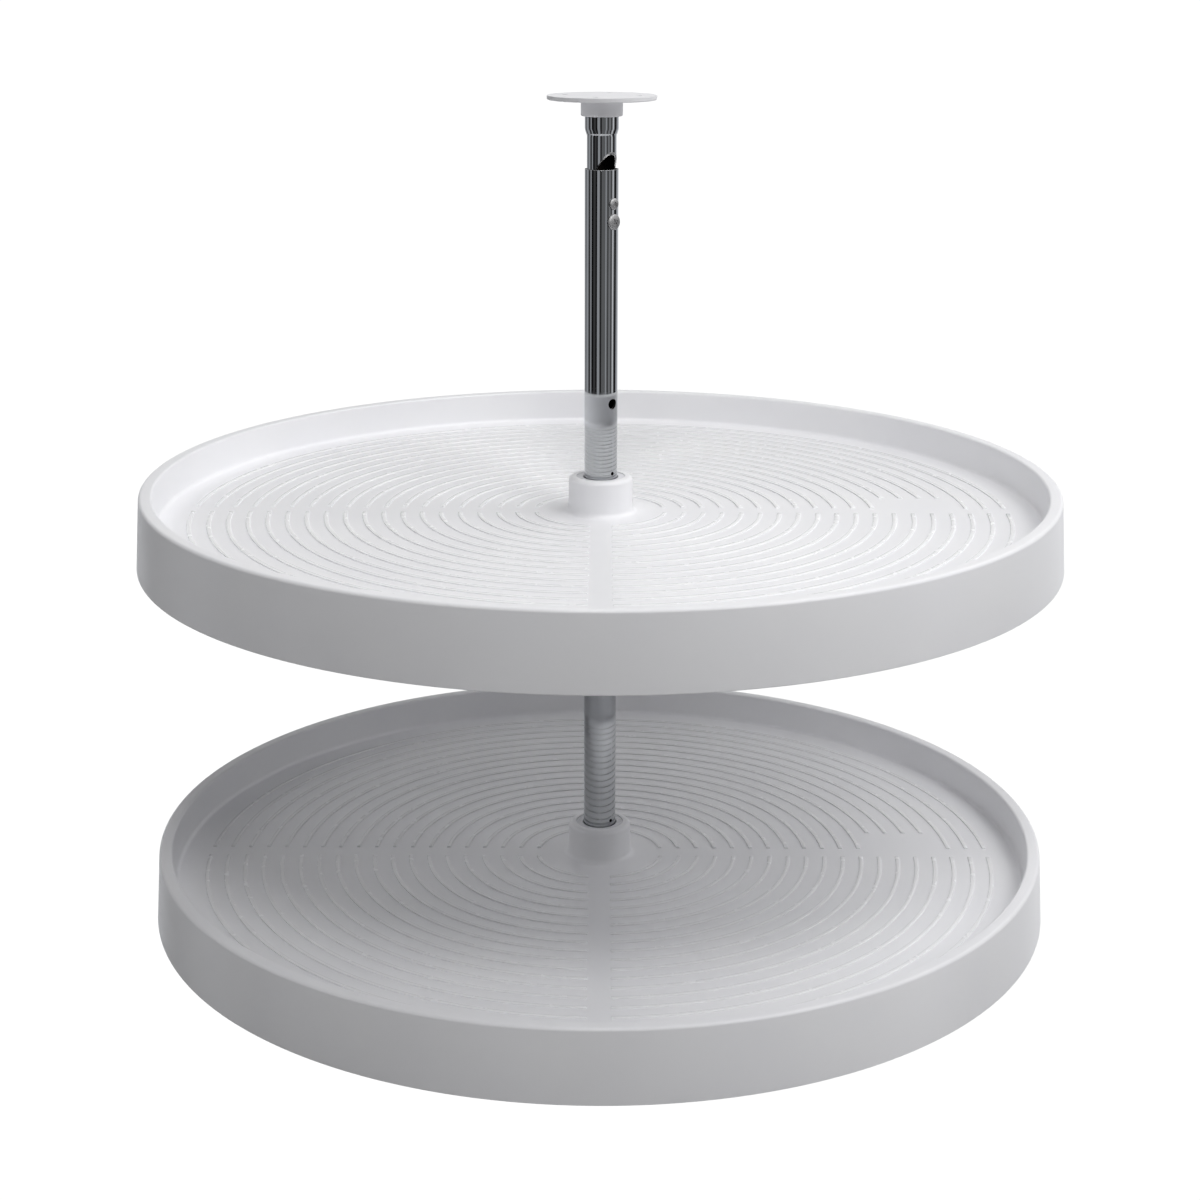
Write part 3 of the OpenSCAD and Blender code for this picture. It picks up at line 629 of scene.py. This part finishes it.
clampScrews = {  # sizes in mm, the cross recess's turn in degrees
    "upper": {"height": 583.2, "shank": 4.0, "head": 8.5, "rise": 2.0, "turn": 20},
    "lower": {"height": 569.9, "shank": 5.0, "head": 11.7, "rise": 2.3, "turn": 32},
}
panHead = {  # shared by both; shares are of the head's or the shank's radius
    "seat": 12.75, "brim": 0.7, "edgeWidth": 0.15, "edgeRise": 0.2, "arcSteps": 12,
    "segments": 64, "tip": -9.5, "tipLead": 0.4, "tipShare": 0.8, "recessDepth": 1.2,
    "recessEnds": 0.6, "recessWidth": 0.24, "recessFoot": 0.42, "recessMouth": 0.55,
    "clearAbove": 4.0,
}
for level, screw in clampScrews.items():
    h, headR, shankR = panHead, screw["head"] / 2, screw["shank"] / 2
    seat, top = h["seat"], h["seat"] + screw["rise"]
    dome = []
    for k in range(h["arcSteps"]):
        a = pi / 2 * k / h["arcSteps"]
        dome.append((headR * cos(a), seat + h["brim"] + (screw["rise"] - h["brim"]) * sin(a)))
    solid = turnedMesh(f"{level}_pan_screw", [
        (0, h["tip"]), (shankR * h["tipShare"], h["tip"]), (shankR, h["tip"] + h["tipLead"]),
        (shankR, seat), (headR - h["edgeWidth"], seat), (headR, seat + h["edgeRise"]),
        *dome, (0, top)], h["segments"])
    # a cross recess, deepest in the middle
    foot, mouth = headR * h["recessFoot"], headR * h["recessMouth"]
    ends, above = top - h["recessDepth"] * h["recessEnds"], seat + h["clearAbove"]
    cutters = []
    for quarter in (0, 90):
        blade = bladeObject("cutter", [(-foot, ends), (0, top - h["recessDepth"]), (foot, ends),
                                       (mouth, above), (-mouth, above)],
                            headR * h["recessWidth"], 0.0)
        blade.data.transform(Matrix.Rotation(radians(screw["turn"] + quarter), 4, "Z"))
        cutters.append(blade)
    cutAway(solid, cutters)
    solid.data.transform(facing @ Matrix.Translation((0, 0, screw["height"] * mm))
                         @ Matrix.Rotation(pi / 2, 4, "Y"))
    placePiece(solid, "shaft", nickelPlate, f"{level}_clamp_screw")
print("clamp screws in")

cadFinish = {  # nodes of the frame that stay as they are
    "floor_bearing_base": mouldedNylon, "ceiling_bearing": mouldedNylon,
    "lower_race": zincPlate, "upper_race": zincPlate, "bearing_balls": zincPlate,
    "ball_cage": naturalNylon, "shaft_end_plug": naturalNylon,
    "lower_support_pin": zincPlate, "upper_support_pin": zincPlate,
    "lower_support_washer": naturalNylon, "upper_support_washer": naturalNylon,
    "lower_hub_bush": acetal, "upper_hub_bush": acetal, "clamp_nut_plate": zincPlate,
}
for name, material in cadFinish.items():
    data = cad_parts[name].data
    data.materials.clear()
    data.materials.append(material)
print("finishes on the carried-over nodes")


studio = {  # metres
    "backdrop": 1.05, "paper": "#C4C4C4", "floorRadius": 6.0, "floorDrop": 0.2 * mm,
    "shade": 0.05, "shadeTint": "#FBFCFF", "cloth": "#E8E8E8", "clothEdge": (0.06, 0.22),
    "aim": (0.0, 0.0, 0.3),
    "softboxes": [  # (name, place, width, energy, shows in gloss)
        ("overhead", (0.09, 0.0, 2.90), 0.8, 9.0, True),
        ("right, high", (1.30, -0.11, 2.55), 1.2, 11.5, True),
        ("right front, high", (1.05, -1.05, 2.43), 1.0, 6.0, True),
        ("right", (2.05, 0.0, 1.90), 1.2, 3.0, True),
        ("right front", (1.48, -1.48, 1.86), 1.2, 10.5, True),
        ("front, high", (0.0, -1.62, 2.38), 0.7, 13.5, True),
        ("right back, high", (1.41, 1.18, 2.14), 1.2, 5.5, True),
        ("right back, low", (2.00, 1.40, 1.19), 1.4, 3.0, False),
        ("right, low", (2.52, 0.0, 0.93), 1.4, 6.5, False),
        ("left, low", (-2.52, 0.0, 0.93), 1.4, 8.0, False),
    ],
}
screenTones = {"black": "#1A1A1B", "dark": "#4A4A4B", "shade": "#767778", "mid": "#929395",
               "light": "#B4B6BA", "pale": "#DCDEE2", "white": "#F6F7FA"}
screenEdges = [  # (bearing where a screen starts, in degrees from the camera's side, its tone)
    (-180, "pale"), (-145, "shade"), (-125, "light"), (-101, "dark"), (-82, "light"),
    (-73, "black"), (-57, "dark"), (-42, "black"), (-30, "light"), (-14, "dark"), (-7, "black"),
    (0, "shade"), (26, "light"), (34, "shade"), (41, "dark"), (49, "mid"), (64, "dark"),
    (72, "mid"), (80, "white"), (90, "shade"), (99, "black"), (118, "light"), (140, "white"),
]
viewpoint = {  # metres, and radians from looking level along the Y axis
    "place": (0.00056, -1.6278, 0.7634), "lens": 64.68, "sensor": 36.0,
    "turn": 0.0005, "down": 0.2925, "roll": 0.0032,
}

floorTone = bpy.data.materials.new("pale floor")
floorTone.use_nodes = True
floorTree = floorTone.node_tree
floorTree.nodes.clear()
paper = addNode(floorTree, "ShaderNodeBsdfDiffuse", {"Color": hexToLinear(studio["paper"])})
glow = addNode(floorTree, "ShaderNodeEmission", {"Color": hexToLinear("#FFFFFF"),
                                                 "Strength": studio["backdrop"]})
seen = addNode(floorTree, "ShaderNodeLightPath").outputs["Is Camera Ray"]
blend = addNode(floorTree, "ShaderNodeMixShader", {0: seen, 1: paper.outputs[0],
                                                   2: glow.outputs[0]})
# one-sided, so that the object can be looked at from below too
underSide = addNode(floorTree, "ShaderNodeNewGeometry").outputs["Backfacing"]
clear = addNode(floorTree, "ShaderNodeBsdfTransparent")
oneSided = addNode(floorTree, "ShaderNodeMixShader", {0: underSide, 1: blend.outputs[0],
                                                      2: clear.outputs[0]})
addNode(floorTree, "ShaderNodeOutputMaterial", {0: oneSided.outputs[0]})

bm = bmesh.new()
bmesh.ops.create_circle(bm, cap_ends=True, segments=96, radius=studio["floorRadius"],
                        matrix=Matrix.Translation((0, 0, -studio["floorDrop"])))
floor = meshObject("pale_floor", bm)
floor.data.materials.append(floorTone)
floor.visible_glossy = False

world = bpy.data.worlds.new("studio")
scene.world = world
world.use_nodes = True
sky = world.node_tree
sky.nodes.clear()
path = addNode(sky, "ShaderNodeLightPath")
skyward = addNode(sky, "ShaderNodeTexCoord").outputs["Generated"]
x, y, z = addNode(sky, "ShaderNodeSeparateXYZ", {0: skyward}).outputs
# screens that stand round the object: their reflections stripe the chrome
towards = addNode(sky, "ShaderNodeMath", {0: y, 1: -1.0}, operation="MULTIPLY").outputs[0]
bearing = addNode(sky, "ShaderNodeMath", {0: x, 1: towards}, operation="ARCTAN2").outputs[0]
turn = addNode(sky, "ShaderNodeMapRange", {"Value": bearing, "From Min": -pi, "From Max": pi})
screens = addNode(sky, "ShaderNodeValToRGB", {"Fac": turn.outputs[0]})
ramp = screens.color_ramp
ramp.interpolation = "CONSTANT"
while len(ramp.elements) > 1:
    ramp.elements.remove(ramp.elements[-1])
for degreesRound, tone in screenEdges:
    spot = (degreesRound + 180) / 360
    element = ramp.elements[0] if spot == 0 else ramp.elements.new(spot)
    element.position, element.color = spot, hexToLinear(screenTones[tone])
# above the screens hangs a pale cloth
clothLow, clothHigh = studio["clothEdge"]
onCloth = addNode(sky, "ShaderNodeMapRange", {"Value": z, "From Min": clothLow,
                                              "From Max": clothHigh})
tones = addNode(sky, "ShaderNodeMixRGB", {0: onCloth.outputs[0], 1: screens.outputs[0],
                                          2: hexToLinear(studio["cloth"])})
soft = addNode(sky, "ShaderNodeBackground", {"Color": hexToLinear(studio["shadeTint"]),
                                             "Strength": studio["shade"]})
mirrored = addNode(sky, "ShaderNodeBackground", {"Color": tones.outputs[0], "Strength": 1.0})
white = addNode(sky, "ShaderNodeBackground", {"Color": hexToLinear("#FFFFFF"),
                                              "Strength": studio["backdrop"]})
lit = addNode(sky, "ShaderNodeMixShader", {0: path.outputs["Is Glossy Ray"], 1: soft.outputs[0],
                                           2: mirrored.outputs[0]})
shown = addNode(sky, "ShaderNodeMixShader", {0: path.outputs["Is Camera Ray"], 1: lit.outputs[0],
                                             2: white.outputs[0]})
addNode(sky, "ShaderNodeOutputWorld", {0: shown.outputs[0]})

for name, place, width, energy, inGloss in studio["softboxes"]:
    lamp = bpy.data.lights.new(name, "AREA")
    lamp.shape, lamp.size, lamp.energy = "DISK", width, energy
    softbox = bpy.data.objects.new(name, lamp)
    scene.collection.objects.link(softbox)
    softbox.location, softbox.visible_glossy = place, inGloss
    beam = Vector(studio["aim"]) - softbox.location
    softbox.rotation_euler = beam.to_track_quat("-Z", "Y").to_euler()

camera = bpy.data.cameras.new("camera")
camera.lens, camera.sensor_width = viewpoint["lens"], viewpoint["sensor"]
eye = bpy.data.objects.new("camera", camera)
scene.collection.objects.link(eye)
eye.matrix_world = (Matrix.Translation(viewpoint["place"])
                    @ Matrix.Rotation(viewpoint["turn"], 4, "Z")
                    @ Matrix.Rotation(pi / 2 - viewpoint["down"], 4, "X")
                    @ Matrix.Rotation(viewpoint["roll"], 4, "Z"))
scene.camera = eye
scene.view_settings.view_transform = "Standard"
print("floor, light and camera set")
